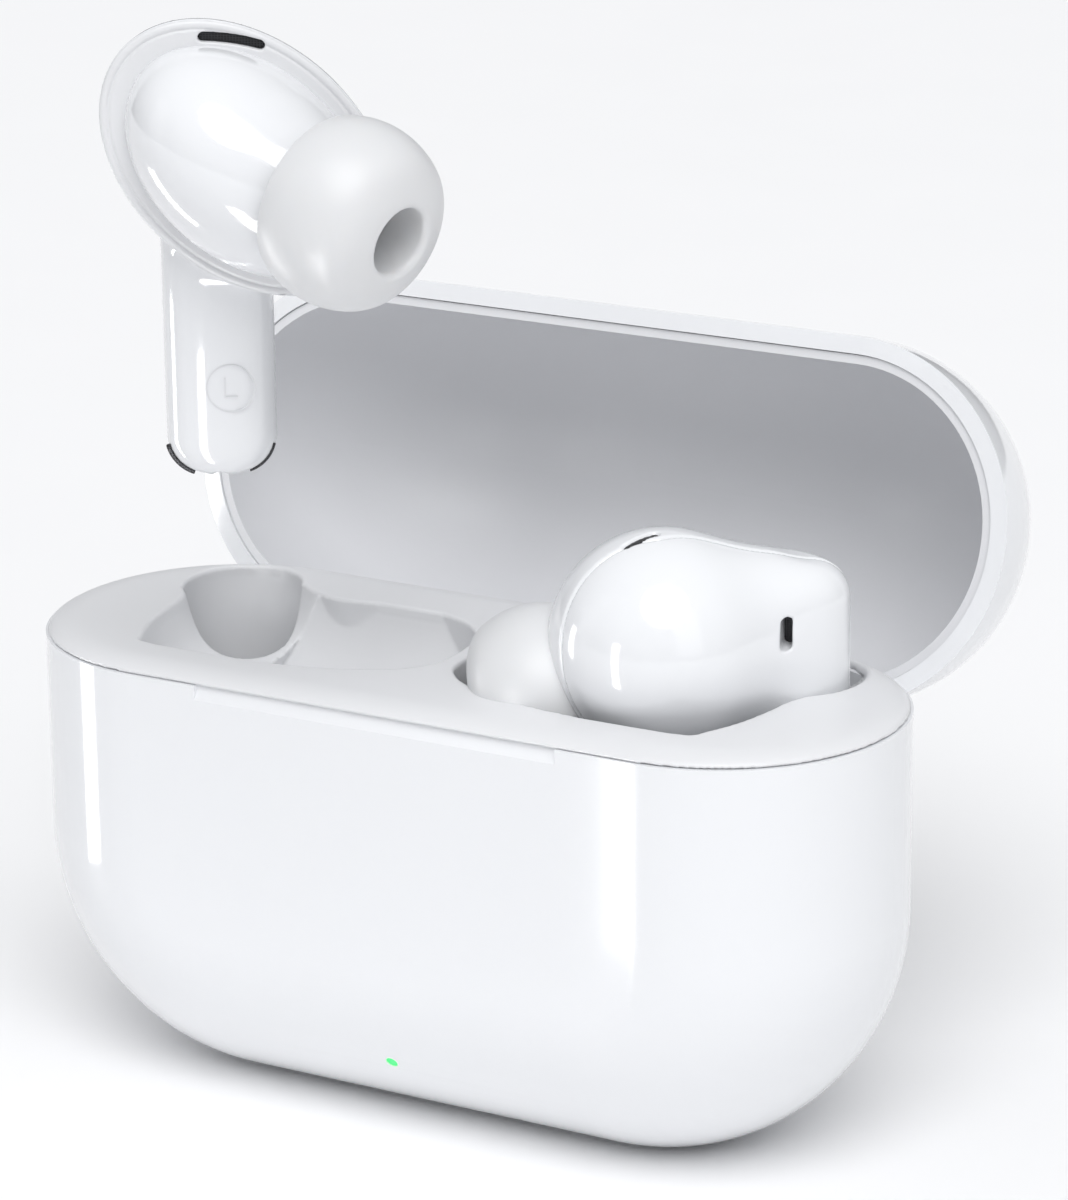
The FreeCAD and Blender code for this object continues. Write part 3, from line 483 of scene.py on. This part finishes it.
def left_vent(x, y, z, grow=0.0):
    """The slot at the top of the collar, which follows its edge."""
    turn = math.radians(-9)
    half, radius, curve = 1.75, 0.32, 0.035
    px, pz = x - 1.55, z - 28.6
    u = px * math.cos(turn) + pz * math.sin(turn)
    v = -px * math.sin(turn) + pz * math.cos(turn) + curve * u * u
    return np.maximum(np.hypot(np.maximum(np.abs(u) - half, 0), v) - radius - grow, y + 4.0 + 2 * grow)


def left_housing(x, y, z):
    """Collar, domed back and stem, with the groove, vent, stem notch and microphone slots cut in."""
    u, v = collar_axes(x, z)
    flat = ellipsoid(u, 0, v, (COLLAR_A, 1, COLLAR_B))
    collar = rounded_pair(flat, np.abs(y - COLLAR_Y - 0.55) - 0.55, 0.3)
    dome = ellipsoid(u, y - COLLAR_Y, v, (COLLAR_A - 0.15, 5.0, COLLAR_B - 0.15))
    dome = np.maximum(dome, COLLAR_Y + 0.5 - y)
    body = blend_in(collar, blend_in(dome, stem_field(x, y, z), 2.0), 0.3)
    groove = np.abs(flat + 0.55) - 0.07
    groove = np.maximum(groove, y - COLLAR_Y - 0.06)
    body = carve(body, groove, 0.05)
    body = carve(body, left_vent(x, y, z), 0.1)
    notch = np.hypot(x + 0.1, z - 0.05) - 0.45
    notch = np.maximum(notch, y - 0.2)
    body = carve(body, notch, 0.1)
    return carve(body, left_mics(x, y, z), 0.05)


def collar_front(y, z, depth):
    """The space in front of a plane that lies a little way into the collar."""
    return np.maximum(y - COLLAR_Y - depth, RING_LOW - z)


def left_ring(x, y, z):
    """The collar's front skin, a satin ring round the bulge."""
    return np.maximum(left_housing(x, y, z), collar_front(y, z, 0.25))


def left_back(x, y, z):
    """The rest of the housing, a hair's gap behind the ring."""
    return np.maximum(left_housing(x, y, z), -collar_front(y, z, 0.27))


def left_mics(x, y, z, shrink=0.0):
    """The microphone slots along the stem's lower corners."""
    ring = np.hypot(np.hypot(np.abs(x) - CORNER_X, z - CORNER_R) - CORNER_R, y + 0.9)
    ring = ring - np.where(x < 0, 0.24, 0.12) + shrink
    turn = np.arctan2(CORNER_R - z, np.abs(x) - CORNER_X)
    span = np.maximum(turn - math.radians(72), math.radians(12) - turn) * CORNER_R + shrink
    return np.maximum(ring, span)


def left_bulge(x, y, z):
    """The bulge towards the ear, swept into the nozzle."""
    u, v = collar_axes(x, z)
    swell = ellipsoid(u - 0.1, y - COLLAR_Y, v, (8.45, 7.8, 5.92))
    along, out = turned(x, y, z, LEFT_TIP, tip_axis(1))
    neck = rounded_pair(out - 3.2 + 0.12 * (along + 3), np.abs(along + 2.5) - 3.6, 0.4)
    body = blend_in(swell, neck, 2.5)
    body = np.maximum(body, y - COLLAR_Y - 0.2)
    return carve(body, np.maximum(out - NOZZLE_BORE, -along - 1), 0.1)


def right_cut(x, y, z):
    """Distance in front of the right earbud's parting surface, which keeps close to its outline."""
    facing, across = 0.736 * x - 0.676 * y, 0.676 * x + 0.736 * y
    rise = np.logaddexp(0, z - 24)
    return 0.9 * (facing + 0.37 * np.maximum(across, -9) - 1.9 + 0.33 * rise)


def right_body(x, y, z):
    """The right earbud: head and stem in one smooth sweep."""
    head = ellipsoid(x + 4.6, y + 7.57, z - 23.3, (7.5, 7.5, 7.5))
    return blend_in(head, stem_field(x, y, z), 5.0)


def right_vent(x, y, z, grow=0.0):
    """The slot on top of the head."""
    start, end = (-5.2, -10.35, 30.32), (-4.62, -8.3, 30.82)
    return capsule(x, y, z, start, end, 0.35 + grow)


def right_housing(x, y, z):
    """The part of the right earbud behind its parting surface."""
    body = meet(right_body(x, y, z), right_cut(x, y, z) + 0.03, 0.12)
    return carve(body, right_vent(x, y, z), 0.05)


def right_face(x, y, z):
    """The part in front of the parting surface, with the nozzle and the slots."""
    body = meet(right_body(x, y, z), 0.03 - right_cut(x, y, z), 0.3)
    along, out = turned(x, y, z, RIGHT_TIP, tip_axis(-1))
    neck = rounded_pair(out - 3.0, np.abs(along + 2.5) - 3.6, 0.4)
    body = blend_in(body, neck, 1.0)
    body = carve(body, np.maximum(out - NOZZLE_BORE, -along - 1), 0.1)
    body = carve(body, right_vent(x, y, z), 0.05)
    return carve(body, pill(x, y, z), 0.12)


def placed(x, y, z, yaw):
    """An earbud's own frame, with its origin at the foot of its stem's axis."""
    return Matrix.Translation(Vector((x, y, z)) * MM) @ Matrix.Rotation(math.radians(yaw), 4, "Z")


LEFT = placed(-9.3, -14.5, 46.0, 30.5)
RIGHT = placed(STEM_X, STEM_Y, 10.6, -17.0)


def make_bud(word, place, low, high, housing, face, tip_centre, side, tip_body):
    """One earbud's housing, face and ear tip."""
    made = grown(f"{word}_housing_visual", housing, low, high, 0.16, f"{word}_bud", "gloss_white", place)
    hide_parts(f"{word}_bud_housing")
    made = grown(f"{word}_face_visual", face, low, high, 0.16, f"{word}_bud", "gloss_white", place)
    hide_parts(f"{word}_inner_housing")
    reach = TIP_R + 0.2
    box = [[c - reach for c in tip_centre], [c + reach for c in tip_centre]]
    made = grown(f"{word}_tip_visual", tip_field(tip_centre, tip_axis(side)), *box, 0.15, tip_body,
                 "silicone", place)
    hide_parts(f"{word}_ear_tip")


def left_vent_mesh(x, y, z):
    """The mesh a little inside the left vent's slot."""
    return np.maximum(left_vent(x, y, z, -0.02), np.abs(y + 4.3) - 0.25)


def right_vent_mesh(x, y, z):
    """The mesh a little below the head's surface in the right vent's slot."""
    return np.maximum(right_vent(x, y, z, -0.02), right_body(x, y, z) + 0.15)


def left_mic_mesh(x, y, z):
    """The dark filling of the microphone slots."""
    return left_mics(x, y, z, 0.03)


make_bud("left", LEFT, (-8, -15.8, -0.2), (12.8, 4, 31), left_back, left_bulge, LEFT_TIP, 1, "left_tip")
make_bud("right", RIGHT, (-15, -16, -0.2), (4, 4, 31.5), right_housing, right_face, RIGHT_TIP, -1,
         "right_bud")
grown("left_ring", left_ring, (-8, -5.3, 12.4), (12, -4.6, 30.5), 0.1, "left_bud", "satin_white", LEFT)
vent = grown("left_vent_visual", left_vent_mesh, (-1, -5, 28), (4, -3.8, 30), 0.08, "left_bud",
             "mesh_dark", LEFT)
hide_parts("left_top_vent_mesh")
vent = grown("right_vent_visual", right_vent_mesh, (-5.9, -11.0, 29.6), (-4.0, -7.6, 31.4), 0.08,
             "right_bud", "mesh_dark", RIGHT)
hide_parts("right_top_vent_mesh")
grown("left_mic_slots", left_mic_mesh, (-4, -1.4, -0.1), (4, -0.4, 3), 0.07, "left_bud", "mesh_dark", LEFT)


INLAY = 0.1


def bars(name, boxes, body, slot, place):
    """Thin bars, each given by its two far corners."""
    points, faces = [], []
    for low, high in boxes:
        n = len(points)
        for corner in CORNERS.tolist():
            points.append(tuple((low, high)[k][axis] for axis, k in enumerate(corner)))
        faces += [[n + k for k in face] for face in
                  ((0, 1, 3, 2), (4, 6, 7, 5), (0, 4, 5, 1), (2, 3, 7, 6), (0, 2, 6, 4), (1, 5, 7, 3))]
    return piece(name, points, faces, body, slot, place, smooth=False)


def thin_ring(name, centre, radius, width, front, body, slot, place, parts=64):
    """A flat ring on a face that looks along -y."""
    points = []
    for k in range(parts):
        turn = 2 * math.pi * k / parts
        for out, y in ((radius, front), (radius + width, front), (radius + width, front + INLAY),
                       (radius, front + INLAY)):
            points.append((centre[0] + out * math.cos(turn), y, centre[1] + out * math.sin(turn)))
    faces = [[4 * k + a, 4 * k + b, (4 * (k + 1) + b) % len(points), (4 * (k + 1) + a) % len(points)]
             for k in range(parts) for a, b in ((0, 1), (1, 2), (2, 3), (3, 0))]
    return piece(name, points, faces, body, slot, place, smooth=False)


# the side mark on the left stem's flat, a hair proud of it: a ring with a plain L in it
MARK, FLAT = (0.77, 6.1), -STEM_FLAT - 0.01
thin_ring("left_mark_ring", MARK, 1.48, 0.07, FLAT, "left_bud", "satin_grey", LEFT)
upright = ((MARK[0] - 0.42, FLAT, MARK[1] - 0.62), (MARK[0] - 0.31, FLAT + INLAY, MARK[1] + 0.68))
foot = ((MARK[0] - 0.31, FLAT, MARK[1] - 0.62), (MARK[0] + 0.42, FLAT + INLAY, MARK[1] - 0.51))
bars("left_mark_letter", [upright, foot], "left_bud", "satin_grey", LEFT)


# ---- stage and light ----
def area(name, at, aim, size, power, diffuse=True):
    """A rectangular light that the camera itself doesn't see."""
    data = bpy.data.lights.new(name, "AREA")
    data.shape = "RECTANGLE"
    data.size, data.size_y = size
    data.energy = power
    light = bpy.data.objects.new(name, data)
    light.location = at
    light.rotation_euler = (Vector(aim) - Vector(at)).to_track_quat("-Z", "Y").to_euler()
    light.visible_camera = False
    light.visible_diffuse = diffuse
    bpy.context.collection.objects.link(light)


def sun(name, toward, power, spread):
    """A soft distant light from one side."""
    data = bpy.data.lights.new(name, "SUN")
    data.energy = power
    data.angle = math.radians(spread)
    light = bpy.data.objects.new(name, data)
    light.rotation_euler = Vector(toward).to_track_quat("Z", "Y").to_euler()
    bpy.context.collection.objects.link(light)


def strip(name, bearing, distance, width):
    """A tall panel at a bearing from the front, seen only in reflections."""
    turn = math.radians(bearing)
    height, tall, power = 0.02, 0.05, 0.016
    at = (math.sin(turn) * distance, -math.cos(turn) * distance, height)
    area(name, at, (0, 0, height), (width, tall), power, diffuse=False)


def build_stage():
    """A pale paper floor, a studio world that is brighter above, and the lights."""
    side = 1.5
    floor = bpy.data.meshes.new("floor")
    corners = [(-side, -side, 0), (side, -side, 0), (side, side, 0), (-side, side, 0)]
    floor.from_pydata(corners, [], [(0, 1, 2, 3)])
    thing = bpy.data.objects.new("floor", floor)
    bpy.context.collection.objects.link(thing)
    floor.materials.append(finish_node("floor_paper", (0.93, 0.93, 0.935), 0.7, grain=0.05, tint=0.004))
    world = bpy.data.worlds.new("studio")
    world.use_nodes = True
    nodes, links = world.node_tree.nodes, world.node_tree.links
    where = nodes.new("ShaderNodeTexCoord")
    split = nodes.new("ShaderNodeSeparateXYZ")
    links.new(where.outputs["Generated"], split.inputs["Vector"])
    ramp = nodes.new("ShaderNodeValToRGB")
    ramp.color_ramp.elements[0].position = 0.0
    ramp.color_ramp.elements[0].color = (0.16, 0.164, 0.172, 1)
    ramp.color_ramp.elements[1].position = 0.75
    ramp.color_ramp.elements[1].color = (0.90, 0.91, 0.93, 1)
    links.new(split.outputs["Z"], ramp.inputs["Fac"])
    links.new(ramp.outputs["Color"], nodes["Background"].inputs["Color"])
    nodes["Background"].inputs["Strength"].default_value = 0.72
    bpy.context.scene.world = world
    sun("key", (0.30, -0.50, 0.81), 1.8, 45)
    area("right", (0.5, -0.35, 0.30), (0, 0, 0.04), (0.3, 0.5), 0.32)
    area("left", (-0.5, -0.3, 0.25), (0, 0, 0.04), (0.2, 0.5), 0.12)
    # tall narrow panels that only show as streaks in the gloss
    strip("streak_left", -66, 0.066, 0.009)
    strip("streak_right", -1, 0.052, 0.006)
    bpy.context.scene.view_settings.view_transform = "Standard"


set_camera()
build_stage()
